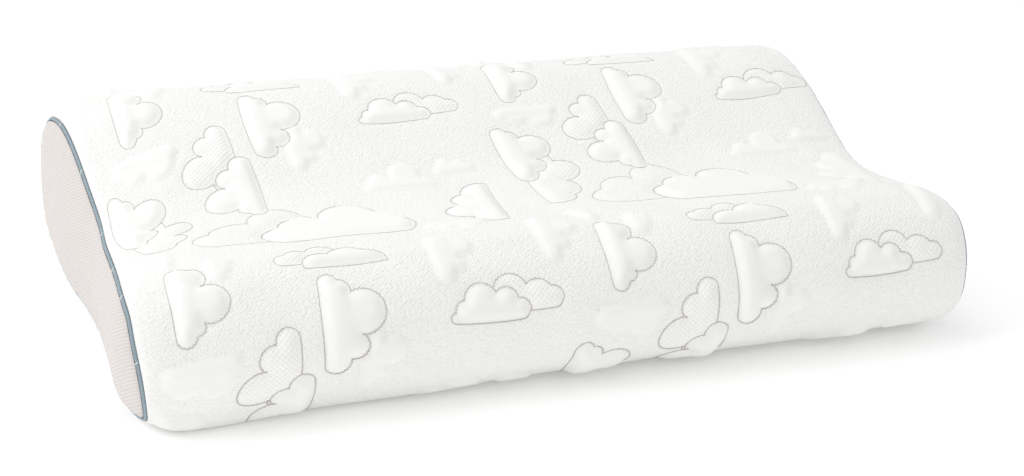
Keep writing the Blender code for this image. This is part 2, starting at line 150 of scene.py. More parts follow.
# Cloud shapes on a base from 0 to 1. One row for each arc: where it ends and how far it bulges,
# as a share of its chord. The first row is where the outline leaves the base.
CLOUD_SHAPES = {
    "heap": ((0.05, 0.0, 0), (0.02, 0.30, 0.45), (0.17, 0.47, 0.25), (0.60, 0.56, 0.70),
             (0.86, 0.40, 0.45), (0.95, 0.0, 0.45)),
    "loaf": ((0.07, 0.0, 0), (0.06, 0.40, 0.40), (0.38, 0.55, 0.38), (0.80, 0.50, 0.72),
             (0.92, 0.36, 0.35), (0.94, 0.0, 0.42)),
    "drift": ((0.04, 0.0, 0), (0.06, 0.28, 0.50), (0.17, 0.57, 0.30), (0.57, 0.72, 0.42),
              (0.84, 0.53, 0.35), (0.92, 0.0, 0.45)),
    "puff": ((0.10, 0.0, 0), (0.08, 0.50, 0.35), (0.51, 0.65, 0.45), (0.83, 0.55, 0.25),
             (0.92, 0.0, 0.42)),
    "tower": ((0.05, 0.0, 0), (0.12, 0.45, 0.30), (0.46, 0.58, 0.32), (0.90, 0.62, 0.50),
              (0.96, 0.0, 0.22)),
    "bough": ((0.05, 0.0, 0), (0.22, 0.62, 0.30), (0.52, 0.66, 0.55), (0.80, 0.58, 0.30),
              (0.95, 0.0, 0.30)),
    "low": ((0.0, 0.0, 0), (0.34, 0.62, 0.30), (0.74, 0.72, 0.28), (1.0, 0.0, 0.16)),
}

# The long side of a cloud bows out by this share of its length
BASE_BOW = 0.025

# The clouds of one repeat, from back to front where they overlap. along: from the left seam.
# round: up over the pillow from the front heel. turn: degrees from upright. mirrored: where it is so.
# Sizes in mm.
CLOUD_COLUMNS = ("shape", "kind", "along", "round", "length", "height", "turn", "mirrored")
CLOUDS = (
    ("puff", "soft", 50, 162, 26, 28, -90),
    ("puff", "soft", 16, 190, 34, 24, -75),
    ("heap", "soft", 143, 90, 48, 34, -90),
    ("puff", "soft", 66, 88, 54, 26, 180),
    ("heap", "soft", 200, 160, 46, 36, -90),
    ("heap", "soft", 279, 172, 50, 34, -90),
    ("loaf", "soft", 200, 284, 58, 28, 0),
    ("puff", "soft", 258, 298, 32, 22, 0),
    ("drift", "soft", 262, 196, 50, 26, 180),
    ("tower", "faint", 63, 199, 90, 92, 0),
    ("loaf", "plain", 25, 154, 57, 35, -90),
    ("heap", "plain", 119, 126, 66, 43, -90),
    ("puff", "mesh", 233, 91, 54, 24, 0),
    ("drift", "plain", 206, 85, 57, 25, 0),
    ("heap", "mesh", 102, 32, 63, 38, 90),
    ("heap", "plain", 113, -3, 63, 41, 90),
    ("puff", "mesh", 96, 142, 48, 25, 0, True),
    ("low", "plain", 114, 137, 57, 23, 0),
    ("tower", "plain", 109, 189, 98, 96, 0),
    ("bough", "plain", 276, 186, 100, 36, 81),
    ("bough", "mesh", 326, 318, 99, 41, -92),
    ("heap", "plain", 312, 338, 63, 43, -85),
)

# Copies whose outline doesn't show: the cloud's row in the table above, and which repeat it is
# along and round
UNSTITCHED = ((19, 1, 0), (20, -1, -1), (21, -1, -1))

# Kind of cloud: how high it puffs, and how far from its outline it reaches that height
PUFFS = {"plain": (2.9 * MM, 8 * MM), "mesh": (1.5 * MM, 8 * MM), "soft": (1.9 * MM, 4.5 * MM),
         "faint": (2.0 * MM, 10 * MM)}
THREADED = ("plain", "mesh", "faint")

# A cloud turned by more degrees than this lies on its side. It is higher by a share of its puff along
# its flat side, falls off between two shares of its height, and runs out steeply at its two ends.
ON_SIDE_FROM = 45
RIDGE_RISE = 0.40
RIDGE_EDGE = (0.26, 0.44)
RIDGE_STEEPNESS = 8

# The cloth is drawn down along each outline, more where it is stitched. Past the last reach a cloud
# has no effect.
CREASE_DEPTH = 0.6 * MM
SOFT_CREASE_DEPTH = 0.4 * MM
CREASE_REACH = 2.4 * MM
QUILT_REACH = 14 * MM

# The quilting starts this far from each end seam and is at its full height past the ramp. Near the
# floor it fades out too. The kinds of knit blend in over their own ramp.
QUILT_FROM_SEAM = 7 * MM
QUILT_RAMP = 12 * MM
FADE_HEIGHT = 11 * MM
KNIT_RAMP = 10 * MM
QUILT_STEP = 2.5 * MM

# Slow waves in the stuffed cloth: radians to the metre along and round, and where each one starts.
# Together they reach about SLOW_WAVES_SIZE.
SLOW_WAVES = ((61, 23, 0.4), (-37, 71, 1.9), (17, -49, 3.1), (93, 57, 4.4), (-71, -29, 5.2))
SLOW_WAVES_SIZE = 3


def hex_colour(text):
    """An sRGB hex colour as linear red, green and blue."""
    parts = [int(text[i:i + 2], 16) / 255 for i in (1, 3, 5)]
    return tuple(p / 12.92 if p <= 0.04045 else ((p + 0.055) / 1.055) ** 2.4 for p in parts)


# Shape of the pillow

def closed_curve(points):
    """A smooth closed curve through the points, with STRETCH_POINTS rows for each stretch."""
    after = np.roll(points, -1, axis=0)
    chord = np.hypot(*(after - points)[:, :2].T)[:, None]
    before, slope = np.roll(chord, 1, axis=0), (after - points) / chord
    tangent = (np.roll(slope, 1, axis=0) * chord + slope * before) / (before + chord)
    t = np.linspace(0, 1, STRETCH_POINTS, endpoint=False)[None, :, None]
    leave, arrive = (tangent * chord)[:, None], (np.roll(tangent, -1, axis=0) * chord)[:, None]
    curve = (points[:, None] * (2 * t ** 3 - 3 * t ** 2 + 1) + leave * (t ** 3 - 2 * t ** 2 + t)
             + after[:, None] * (3 * t ** 2 - 2 * t ** 3) + arrive * (t ** 3 - t ** 2))
    return curve.reshape(-1, points.shape[1])


def eased(share):
    """A share from 0 to 1 with a smooth start and end."""
    return share * share * (3 - 2 * share)


def nearness(along, place, centre, centre_round, reach, reach_round):
    """How near points of the flat cloth are to a centre: 1 there, and smoothly down to 0 around it."""
    away = ((along + LENGTH / 2 - centre) / reach) ** 2 + ((place - centre_round) / reach_round) ** 2
    return np.exp(-away)


class Section:
    """The pillow's outline from its end, measured round from the front heel."""

    def __init__(self):
        dense = closed_curve(np.array(SECTION, dtype=float) * MM)
        dense[:, 0] -= DEPTH / 2
        dense[:, 1] = np.maximum(dense[:, 1], 0)
        self.values = np.vstack([dense, dense[:1]])
        steps = np.hypot(*np.diff(self.values[:, :2], axis=0).T)
        self.distance = np.concatenate([[0], np.cumsum(steps)])
        self.girth = self.distance[-1]
        under = (self.distance > self.girth / 2) & (self.values[:, 1] <= 0)
        self.flat_start = self.distance[np.argmax(under)]
        self.first = self.girth * (JOIN_AFTER - 1)

    def read(self, place, name):
        values = self.values[:, SECTION_COLUMNS.index(name)]
        return np.interp(np.mod(place, self.girth), self.distance, values)

    def at(self, place):
        """Place across, height, and the outward direction there."""
        ahead, behind = place + SLOPE_REACH, place - SLOPE_REACH
        rise = self.read(ahead, "up") - self.read(behind, "up")
        run = self.read(ahead, "across") - self.read(behind, "across")
        size = np.hypot(rise, run)
        return self.read(place, "across"), self.read(place, "up"), -rise / size, run / size

    def spine(self, place):
        """The point of the section's middle line that a place faces, and how far the end swells there."""
        y = np.clip(self.read(place, "across"), -DEPTH / 2 + SPINE_FROM_FRONT,
                    DEPTH / 2 - SPINE_FROM_BACK)
        top = self.values[self.values[:, 1] > TOP_FROM * self.values[:, 1].max()]
        top = top[np.argsort(top[:, 0])]
        return y, np.interp(y, top[:, 0], top[:, 1]) / 2, np.interp(y, top[:, 0], top[:, 2])


def bulge(along, place):
    """How far the filling pushes the cover out at each point of the flat cloth."""
    height = sum(high * nearness(along, place, *spot) for *spot, high in np.array(BULGES) * MM)
    return height * np.clip((LENGTH / 2 - np.abs(along)) / BULGE_FROM_SEAM, 0, 1)


def wrap(section, along, place):
    """Wrap points of the flat cloth round the section."""
    y, z, out_y, out_z = section.at(place)
    from_seam = LENGTH / 2 - np.abs(along)
    pull = np.clip(1 - from_seam / DRAW_REACH, 0, 1) ** 2
    rise = bulge(along, place)
    x = along.copy()
    for end, side in ENDS:
        here = along * side > 0
        roll = 1 - np.sqrt(1 - np.clip(1 - from_seam / ROLL_REACH[end], 0, 1) ** 2)
        rise -= np.where(here, section.read(place, end + "_sink") * roll, 0)
        x -= np.where(here, side * section.read(place, end) * pull, 0)
    return np.stack([x, y + out_y * rise, np.maximum(z + out_z * rise, 0)], axis=1)


def end_ring(section, places, side, share=0.0, inset=0.0, outward=0.0):
    """A loop on a crowned end: from its seam a share of the way to the middle line, or an inset."""
    end = "left" if side < 0 else "right"
    y, z, out_y, out_z = section.at(places)
    sink = section.read(places, end + "_sink")
    seam_y, seam_z = y - out_y * sink, z - out_z * sink
    spine_y, spine_z, spine_crown = section.spine(places)
    share = share + inset / np.hypot(spine_y - seam_y, spine_z - seam_z)
    crown = section.read(places, "crown") * (1 - share) + spine_crown * share
    swell = crown * (1 - (1 - share) ** 2) - section.read(places, end) * (1 - share)
    return np.stack([side * (LENGTH / 2 + swell + outward), seam_y + (spine_y - seam_y) * share,
                     seam_z + (spine_z - seam_z) * share], axis=1)


def end_rings(section, places, side, outward, insets, shares=()):
    """Loops on a crowned end: at insets from its seam, and then at shares of the way in."""
    return ([end_ring(section, places, side, inset=inset, outward=outward) for inset in insets]
            + [end_ring(section, places, side, share, outward=outward) for share in shares])


# Quilted clouds

def arc_points(start, end, bow, step):
    """Points of an arc that bows out to the left of the way from start to end, without its end."""
    chord = end - start
    length = np.hypot(*chord)
    sagitta = bow * length
    radius = (length ** 2 / 4 + sagitta ** 2) / (2 * sagitta)
    left = np.array([-chord[1], chord[0]]) / length
    centre = (start + end) / 2 - left * (radius - sagitta)
    half_angle = math.atan2(length / 2, radius - sagitta)
    count = max(2, round(2 * half_angle * radius / step))
    angles = math.atan2(left[1], left[0]) + half_angle - 2 * half_angle * np.arange(count) / count
    return centre + radius * np.stack([np.cos(angles), np.sin(angles)], axis=1)


def pulled(points):
    """Where points of the cut cloth come to lie on the pillow."""
    moved = points.copy()
    for *spot, by, by_round in np.array(PULLS) * MM:
        moved += nearness(*points.T, *spot)[:, None] * np.array([by, by_round])
    return moved


class Cloud:
    """One cloud laid on the flat cloth: its outline and its own place, turn and size."""

    def __init__(self, row, shift, step, unstitched):
        values = dict(zip(CLOUD_COLUMNS, row))
        self.kind = "soft" if unstitched else values["kind"]
        self.size = np.array([values["length"], values["height"]]) * MM
        self.origin = np.array([values["along"] * MM - LENGTH / 2, values["round"] * MM]) + shift
        turn = math.radians(values["turn"])
        self.on_side = abs(values["turn"]) > ON_SIDE_FROM
        self.axes = np.array([[math.cos(turn), math.sin(turn)], [-math.sin(turn), math.cos(turn)]])
        knots = [(np.array(knot[:2]) * self.size, knot[2]) for knot in CLOUD_SHAPES[values["shape"]]]
        parts = [arc_points(a[0], b[0], b[1], step) for a, b in zip(knots, knots[1:])]
        parts.append(arc_points(knots[-1][0], knots[0][0], BASE_BOW, step))
        outline = np.vstack(parts)
        if values.get("mirrored"):
            outline[:, 0] = self.size[0] - outline[:, 0]
        laid = outline @ self.axes + self.origin
        self.outline = pulled(laid)
        self.origin = self.origin + self.outline.mean(axis=0) - laid.mean(axis=0)
        self.low, self.high = self.outline.min(axis=0), self.outline.max(axis=0)

    def own_place(self, points):
        """Points of the cloth in the cloud's own frame, along and above its base, from 0 to 1."""
        return (points - self.origin) @ self.axes.T / self.size

    def contains(self, points):
        """Which points of the cloth have an odd number of the outline's lines beside them."""
        inside = np.zeros(len(points), dtype=bool)
        near = np.all((points > self.low) & (points < self.high), axis=1)
        x, y = points[near].T
        crossing = np.zeros(len(x), dtype=bool)
        for start, end in zip(self.outline, np.roll(self.outline, -1, axis=0)):
            rise = end[1] - start[1] if end[1] != start[1] else 1.0
            straddles = (start[1] > y) != (end[1] > y)
            crossing ^= straddles & (x < start[0] + (y - start[1]) / rise * (end[0] - start[0]))
        inside[near] = crossing
        return inside


def laid_clouds(section, step):
    """Every cloud on the cloth, from back to front."""
    low = np.array([-LENGTH / 2, section.first])
    high = np.array([LENGTH / 2, section.first + section.girth])
    laid = []
    for row in REPEATS_ROUND:
        for column in REPEATS_ALONG:
            shift = np.array([column * PITCH_ALONG + row * SHIFT_PER_ROW, row * PITCH_ROUND])
            clouds = [Cloud(values, shift, step, (index, column, row) in UNSTITCHED)
                      for index, values in enumerate(CLOUDS)]
            laid += [c for c in clouds if np.all(c.high > low) and np.all(c.low < high)]
    return sorted(laid, key=lambda cloud: cloud.kind not in ("soft", "faint"))


def seen_lines(clouds):
    """For each cloud, the pieces of its outline that no cloud in front hides: their starts and ends."""
    lines = []
    for index, cloud in enumerate(clouds):
        ahead = np.roll(cloud.outline, -1, axis=0)
        seen = np.ones(len(ahead), dtype=bool)
        for front in clouds[index + 1:]:
            if np.all(front.low < cloud.high) and np.all(front.high > cloud.low):
                seen &= ~(front.contains(cloud.outline) | front.contains(ahead))
        lines.append((cloud.outline[seen], ahead[seen]))
    return lines


def distance_to(points, lines, reach):
    """Distance from each point to the nearest piece of line, up to reach."""
    nearest = np.full(len(points), reach)
    for start, end in zip(*lines):
        way = end - start
        share = np.clip((points - start) @ way / (way @ way), 0, 1)
        nearest = np.minimum(nearest, np.hypot(*(points - start - share[:, None] * way).T))
    return nearest


def relief(points, clouds, lines):
    """How far the quilting lifts the cloth at each point, and how much of each kind of knit is there."""
    gap, soft_gap, ramp = (np.full(len(points), QUILT_REACH) for _ in range(3))
    height, shape = np.zeros(len(points)), np.ones(len(points))
    masks = {name: np.zeros(len(points)) for name in ("smooth_knit", "mesh_knit")}
    for index, cloud in enumerate(clouds):
        near = np.flatnonzero(np.all((points > cloud.low - QUILT_REACH)
                                     & (points < cloud.high + QUILT_REACH), axis=1))
        own = distance_to(points[near], lines[index], QUILT_REACH)
        for gaps in (gap, soft_gap) if cloud.kind in THREADED else (soft_gap,):
            gaps[near] = np.minimum(gaps[near], own)
        inside = near[cloud.contains(points[near])]
        height[inside], ramp[inside] = PUFFS[cloud.kind]
        along, above = cloud.own_place(points[inside]).T
        ridge = np.clip(RIDGE_STEEPNESS * along * (1 - along), 0, 1) * cloud.on_side
        fall = np.clip((above - RIDGE_EDGE[0]) / (RIDGE_EDGE[1] - RIDGE_EDGE[0]), 0, 1)
        shape[inside] = 1 + RIDGE_RISE * ridge * (1 - eased(fall))
        masks["smooth_knit"][inside] = cloud.kind in ("plain", "soft")
        masks["mesh_knit"][inside] = cloud.kind == "mesh"
    crease = np.maximum(CREASE_DEPTH * np.exp(-(gap / CREASE_REACH) ** 2),
                        SOFT_CREASE_DEPTH * np.exp(-(soft_gap / CREASE_REACH) ** 2))
    for values in masks.values():
        values *= np.clip(soft_gap / CREASE_REACH, 0, 1)
    return height * shape * eased(np.clip(soft_gap / ramp, 0, 1)) - crease, masks


def slow_waves(points):
    """Slow unevenness of stuffed cloth over the flat points, about one unit high."""
    x, y = points.T
    return sum(np.sin(a * x + b * y + start) for a, b, start in SLOW_WAVES) / SLOW_WAVES_SIZE


# Nodes and meshes

def set_node(node, settings=None, links=None):
    """Set a node's properties and unlinked sockets, and link the rest to a socket or a node's first."""
    for name, value in (settings or {}).items():
        if isinstance(name, str) and hasattr(node, name):
            setattr(node, name, value)
        else:
            node.inputs[name].default_value = value
    for name, source in (links or {}).items():
        socket = source.outputs[0] if isinstance(source, bpy.types.Node) else source
        node.id_data.links.new(socket, node.inputs[name])
    return node


def add_node(tree, kind, settings=None, links=None):
    """Add a shader node with its settings and links."""
    return set_node(tree.nodes.new("ShaderNode" + kind), settings, links)


def new_material(name):
    """An empty material, its shader, and a function that adds nodes to it."""
    material = bpy.data.materials.new(name)
    material.use_nodes = True
    tree = material.node_tree
    return material, tree.nodes["Principled BSDF"], partial(add_node, tree)


def deselect():
    if bpy.context.object and bpy.context.object.mode != "OBJECT":
        bpy.ops.object.mode_set(mode="OBJECT")
    bpy.ops.object.select_all(action="DESELECT")


def make_active(obj):
    deselect()
    obj.select_set(True)
    bpy.context.view_layer.objects.active = obj


def read_all(items, name, width, kind=float):
    """One property of all of a mesh's items, one row for each."""
    values = np.empty(len(items) * width, dtype=kind)
    items.foreach_get(name, values)
    return values.reshape(-1, width)


def coordinates(mesh):
    return read_all(mesh.vertices, "co", 3)


def set_coordinates(mesh, values):
    mesh.vertices.foreach_set("co", np.asarray(values, dtype=np.float32).ravel())
    mesh.update()


def corner_vertices(mesh):
    return read_all(mesh.loops, "vertex_index", 1, np.int32)[:, 0]


def corner_places(mesh):
    """Where each corner of the faces lies on the map of the flat cloth."""
    return read_all(mesh.uv_layers["cloth"].data, "uv", 2)


def set_attribute(mesh, name, values):
    attribute = mesh.attributes.new(name, "FLOAT", "POINT")
    attribute.data.foreach_set("value", np.asarray(values, dtype=np.float32))


def band(bm, one, other):
    """Faces between two closed loops with the same number of points."""
    count = len(one)
    return [bm.faces.new((one[i], one[(i + 1) % count], other[(i + 1) % count], other[i]))
            for i in range(count)]


def write_mesh(bm, mesh):
    """Turn all faces outwards and write them to the mesh."""
    bmesh.ops.recalc_face_normals(bm, faces=bm.faces)
    bm.to_mesh(mesh)
    bm.free()


def link_object(name, data):
    obj = bpy.data.objects.new(name, data)
    bpy.context.scene.collection.objects.link(obj)
    return obj


def mesh_object(name, bm):
    mesh = bpy.data.meshes.new(name)
    write_mesh(bm, mesh)
    mesh.shade_smooth()
    return link_object(name, mesh)


def thread_curve(name, radius, resolution):
    """A curve that takes threads of a radius, with closed ends."""
    curve = bpy.data.curves.new(name, "CURVE")
    curve.dimensions = "3D"
    curve.bevel_depth = radius
    curve.bevel_resolution = resolution
    curve.use_fill_caps = True
    return curve


def add_thread(curve, points, widths):
    """Add one thread through the points, with its share of the full width at each."""
    spline = curve.splines.new("POLY")
    spline.points.add(len(points) - 1)
    for target, point, width in zip(spline.points, points, widths):
        target.co = (*point, 1)
        target.radius = width


def threads_to_mesh(curve):
    """Turn a curve's threads into a mesh, closed at the ends."""
    make_active(link_object(curve.name, curve))
    bpy.ops.object.convert(target="MESH")
    obj = bpy.context.object
    bm = bmesh.new()
    bm.from_mesh(obj.data)
    bmesh.ops.remove_doubles(bm, verts=bm.verts, dist=THREAD_WELD)
    write_mesh(bm, obj.data)
    return obj


def finish_piece(obj, material, slot, *nodes):
    """Give a piece its material, hide the solids it stands for, and let it ride on the pillow. Its slot is
    not used.
    """
    obj.data.materials.clear()
    obj.data.materials.append(material)
    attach(obj, "root")
    if nodes:
        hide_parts(*nodes)


# Materials

# The cloths' maps are in metres and their patterns in mm
PER_METRE = 1000

# The knit: its pebbles along and across their slant, how far they wander from their rows, and from dot
# to dot in the mesh clouds, with the share of that over which a dot's edge rises
PEBBLE_SIZE = (2.6, 1.7, 1)
PEBBLE_SLANT = math.radians(38)
PEBBLE_WANDER = (0.8, 0.8, 0)
DOT_SPACING = 2.7
DOT_EDGE = (0.12, 0.42)
DOT_ROWS_TURN = math.radians(45)

# Heights as shares of the knit's relief: how far it falls between pebbles, and the low and the high of
# the dots, of the smooth knit's stitches and of the painted shade, which is darkest at its low
KNIT_RELIEF = 1.5 * MM
PEBBLE_FALL = -0.55
DOT_HEIGHTS = (-0.42, -0.20)
STITCH_HEIGHTS = (-0.38, -0.28)
PAINTED_SHADE_HEIGHTS = (-0.55, -0.05)

# The gusset's ribs and their loops, the twill, and the scale at which a wave texture has one wave to
# a unit
RIB_SPACING = 2.3
RIB_SLANT = math.radians(-30)
RIB_RELIEF = 0.35 * MM
LOOP_FALL = -0.35
TWILL_SLANT = math.radians(45)
TWILL_RELIEF = 0.2 * MM
ONE_WAVE = math.pi / 10


def finish_cloth(shader, add, shades, share, looks, bump=None):
    """Colour a cloth by a share between its dark and its light shade, and give it its looks and bump."""
    dark, light = ((*shade, 1) for shade in shades)
    colour = add("Mix", {"data_type": "RGBA", 6: dark, 7: light}, {0: share})
    set_node(shader, looks, {"Base Color": colour.outputs[2]})
    if bump:
        set_node(shader, links={"Normal": bump})


def knit_material(colours):
    """White double-knit jacquard: matt cotton-like yarn in a pebbled ground, smooth where it is puffed,
    with painted shade in its dips.
    """
    material, shader, add = new_material("double_knit_jacquard")
    uv = add("UVMap", {"uv_map": "cloth"})
    in_mm = add("Mapping", {"Scale": (PER_METRE,) * 3}, {"Vector": uv})
    smooth = add("Attribute", {"attribute_name": "smooth_knit"})
    mesh = add("Attribute", {"attribute_name": "mesh_knit"})
    # Pebbles of the ground knit, which wander a little from their rows
    pebble_size = add("Mapping", {"vector_type": "TEXTURE", "Scale": PEBBLE_SIZE,
                      "Rotation": (0, 0, PEBBLE_SLANT)}, {"Vector": in_mm})
    wander = add("TexNoise", {"Scale": 0.30, "Detail": 2.0}, {"Vector": in_mm})
    moved = add("VectorMath", {"operation": "MULTIPLY_ADD", 1: PEBBLE_WANDER},
                {0: wander.outputs["Color"], 2: pebble_size})
    pebbles = add("TexVoronoi", {"feature": "SMOOTH_F1", "Scale": 1.0, "Smoothness": 0.25,
                  "Randomness": 0.5}, {"Vector": moved})
    pebble_high = add("Math", {"operation": "MULTIPLY", 1: PEBBLE_FALL}, {0: pebbles})
    # Bird's-eye dots of the mesh clouds
    dot_size = add("Mapping", {"Scale": (1 / DOT_SPACING, 1 / DOT_SPACING, 1),
                   "Rotation": (0, 0, DOT_ROWS_TURN)}, {"Vector": in_mm})
    dots = add("TexVoronoi", {"feature": "F1", "Scale": 1.0, "Randomness": 0.0}, {"Vector": dot_size})
    dot_high = add("MapRange", {"From Min": DOT_EDGE[0], "From Max": DOT_EDGE[1],
                   "To Min": DOT_HEIGHTS[0], "To Max": DOT_HEIGHTS[1]}, {"Value": dots})
    # Stitches of the smooth knit, under 1 mm
    stitches = add("TexNoise", {"Scale": 1.1, "Detail": 3.0}, {"Vector": in_mm})
    stitch_high = add("MapRange", {"To Min": STITCH_HEIGHTS[0], "To Max": STITCH_HEIGHTS[1]},
                      {"Value": stitches})
    ground = add("Mix", {"data_type": "FLOAT"}, {0: mesh.outputs["Fac"], 2: pebble_high, 3: dot_high})
    height = add("Mix", {"data_type": "FLOAT"}, {0: smooth.outputs["Fac"], 2: ground, 3: stitch_high})
    bump = add("Bump", {"Strength": 1.0, "Distance": KNIT_RELIEF}, {"Height": height})
    # Painted shade: the lower the knit lies, the nearer its colour comes to the darker shade, so its dips
    # are darkened
    share = add("MapRange", {"From Min": PAINTED_SHADE_HEIGHTS[0], "From Max": PAINTED_SHADE_HEIGHTS[1]},
                {"Value": height})
    looks = {"Roughness": 0.92, "Sheen Weight": 0.12, "Sheen Roughness": 0.6, "Specular IOR Level": 0.25}
    finish_cloth(shader, add, (colours.knit_painted_shade, colours.knit), share, looks, bump)
    return material


def thread_material(colours):
    """Spun polyester thread: thin and matt, darker than the cloth it outlines, partly its own colour and
    partly painted shade of the crease it lies in.
    """
    material, shader, add = new_material("outline_thread")
    # Flecks of 2.5 mm along the thread
    place = add("TexCoord").outputs["Object"]
    flecks = add("TexNoise", {"Scale": 400.0, "Detail": 2.0}, {"Vector": place})
    finish_cloth(shader, add, (colours.thread, colours.thread_light), flecks, {"Roughness": 0.8})
    return material


def gusset_material(colours):
    """Warp-knitted spacer mesh: slanting ribs of matt yarn, with painted shade in the channels between
    them.
    """
    material, shader, add = new_material("ribbed_spacer_mesh")
    uv = add("UVMap", {"uv_map": "cloth"})
    ribs = add("Mapping", {"Scale": (PER_METRE / RIB_SPACING,) * 3, "Rotation": (0, 0, RIB_SLANT)},
               {"Vector": uv})
    waves = add("TexWave", {"bands_direction": "Y", "Scale": ONE_WAVE, "Distortion": 0.6, "Detail": 1.0,
                "Detail Scale": 0.5}, {"Vector": ribs})
    # Loops of the yarn, two to a rib
    loops = add("TexVoronoi", {"feature": "F1", "Scale": 2.0, "Randomness": 0.35}, {"Vector": ribs})
    loop_high = add("Math", {"operation": "MULTIPLY", 1: LOOP_FALL}, {0: loops})
    height = add("Math", {"operation": "ADD"}, {0: waves.outputs["Fac"], 1: loop_high})
    bump = add("Bump", {"Strength": 0.6, "Distance": RIB_RELIEF}, {"Height": height})
    # Painted shade: the lower the mesh lies, in its channels and between its loops, the darker its colour
    finish_cloth(shader, add, (colours.mesh_painted_shade, colours.mesh), height,
                 {"Roughness": 0.85, "Sheen Weight": 0.1}, bump)
    return material


def piping_material(colours):
    """Twill bias binding over a cord: matt blue-grey cotton with fine slanting threads, and painted shade
    between them.
    """
    material, shader, add = new_material("twill_piping")
    uv = add("UVMap", {"uv_map": "cloth"})
    twill = add("Mapping", {"Scale": (PER_METRE,) * 3, "Rotation": (0, 0, TWILL_SLANT)}, {"Vector": uv})
    # Threads of 0.7 mm
    threads = add("TexWave", {"Scale": 0.45, "Distortion": 0.8, "Detail": 1.0},
                  {"Vector": twill}).outputs["Fac"]
    bump = add("Bump", {"Strength": 0.7, "Distance": TWILL_RELIEF}, {"Height": threads})
    # Painted shade: between the threads the colour falls from the lighter blue-grey to a darker one that
    # stands for shade
    finish_cloth(shader, add, (colours.piping_painted_shade, colours.piping), threads, {"Roughness": 0.75}, bump)
    return material


def plain_material(name, colour, looks):
    material, shader, _ = new_material(name)
    set_node(shader, {"Base Color": (*colour, 1), **looks})
    return material


# Settings

def colour_setting(name, description, default):
    return FloatVectorProperty(name=name, description=description, subtype="COLOR", size=3,
                               min=0, max=1, default=hex_colour(default))


def length_setting(name, description, default):
    return FloatProperty(name=name, description=description, default=default, min=0, unit="LENGTH")


class PillowColours(bpy.types.PropertyGroup):
    """Colours of the pillow's cloths and of the stage."""
    knit: colour_setting("Knit", "Yarn of the cover", "#F8F8F6")
    # Painted shade: the knit's colour in its dips, darker where shade falls
    knit_painted_shade: colour_setting("Knit in dips", "Yarn of the cover between pebbles", "#ECECEA")
    # The outline thread: its own grey, with painted shade of the crease it lies in
    thread: colour_setting("Outline thread", "Thread round the clouds", "#B9B0AA")
    thread_light: colour_setting("Outline thread, light", "Lighter fibres of that thread", "#D2CCC7")
    mesh: colour_setting("Mesh", "Ribs of the end gussets", "#DCD7D4")
    # Painted shade: the mesh's colour in its channels between the ribs
    mesh_painted_shade: colour_setting("Mesh channels", "Between the ribs of the gussets", "#CFC9C6")
    piping: colour_setting("Piping", "Binding round the ends", "#A8B8C1")
    # Painted shade: the piping's colour between the threads of the binding
    piping_painted_shade: colour_setting("Piping in dips", "Between the threads of the binding", "#8598A3")
    stitch: colour_setting("Stitches", "Sewing thread across the piping", "#F2F2EE")
    floor: colour_setting("Floor", "Surface that the pillow lies on", "#FFFFFF")


class PillowSizes(bpy.types.PropertyGroup):
    """Sizes that a maker would change."""
    mesh_step: length_setting("Mesh step", "Spacing of the cover's mesh before it is halved", 4.6 * MM)
    thread_radius: length_setting("Thread radius", "Half the width of the outline thread", 0.44 * MM)
    piping_radius: length_setting("Piping radius", "Half the width of the piping", 1.15 * MM)
    swell: length_setting("Swell", "How far the filling may push the cover out", 1.5 * MM)
    unevenness: length_setting("Unevenness", "Height of the slow waves in the cover", 0.9 * MM)


# Cover

# Columns of the cover's mesh close to an end seam, measured from it, and where the even ones start.
# The rows on the flat underside lie further apart by this factor.
SEAM_COLUMNS = np.array([0, 2.5, 5, 8, 12]) * MM
EVEN_COLUMNS_FROM = 17 * MM
UNDERSIDE_FACTOR = 2.6
COVER_WELD = 0.05 * MM

# Loops of the cover's ends behind the gussets: shares of the way to the middle line. The ends are not
# on the flat cloth, so they lie off its map.
END_LOOPS = (0.18, 0.36, 0.6, 0.82)
OFF_MAP = -1

# The cloth simulation that fills the cover, what the seams hold fast, and its length in frames
FILLING = {"use_pressure": True, "uniform_pressure_force": 4, "tension_stiffness": 18,
           "compression_stiffness": 18, "bending_stiffness": 0.6, "quality": 4}
HELD_FROM_SEAM = 12 * MM
FILLING_FRAMES = 20


def girth_places(section, step):
    """Places round the section: close together on top, far apart on the flat underside."""
    curved = np.linspace(0, section.flat_start, round(section.flat_start / step))
    flat_length = section.girth - section.flat_start
    flat_count = round(flat_length / (UNDERSIDE_FACTOR * step))
    flat = np.linspace(section.flat_start, section.girth, flat_count)
    every = np.unique(np.concatenate([curved, flat[:-1]]))
    past_join = every > section.girth + section.first
    return np.concatenate([every[past_join] - section.girth, every[~past_join]])


def flat_cloth(section, step):
    """The cloth as cut, laid flat, as a grid with its own map of where each point lies."""
    places = girth_places(section, step)
    places = np.append(places, places[0] + section.girth)
    half = LENGTH / 2 - EVEN_COLUMNS_FROM
    even = np.linspace(-half, half, round(2 * half / step))
    alongs = np.concatenate([SEAM_COLUMNS - LENGTH / 2, even, LENGTH / 2 - SEAM_COLUMNS[::-1]])
    columns, rows = len(alongs) - 1, len(places) - 1
    bpy.ops.mesh.primitive_grid_add(x_subdivisions=columns, y_subdivisions=rows, size=2)
    cloth = bpy.context.object
    spots = (coordinates(cloth.data) + 1) / 2
    column = np.round(spots[:, 0] * columns).astype(int)
    row = np.round(spots[:, 1] * rows).astype(int)
    flat = np.stack([alongs[column], places[row]], axis=1)
    cloth.data.uv_layers[0].name = "cloth"
    on_map = flat[corner_vertices(cloth.data)] + np.array([LENGTH / 2, -section.first])
    cloth.data.uv_layers["cloth"].data.foreach_set("uv", on_map.astype(np.float32).ravel())
    return cloth, flat, places[:-1]


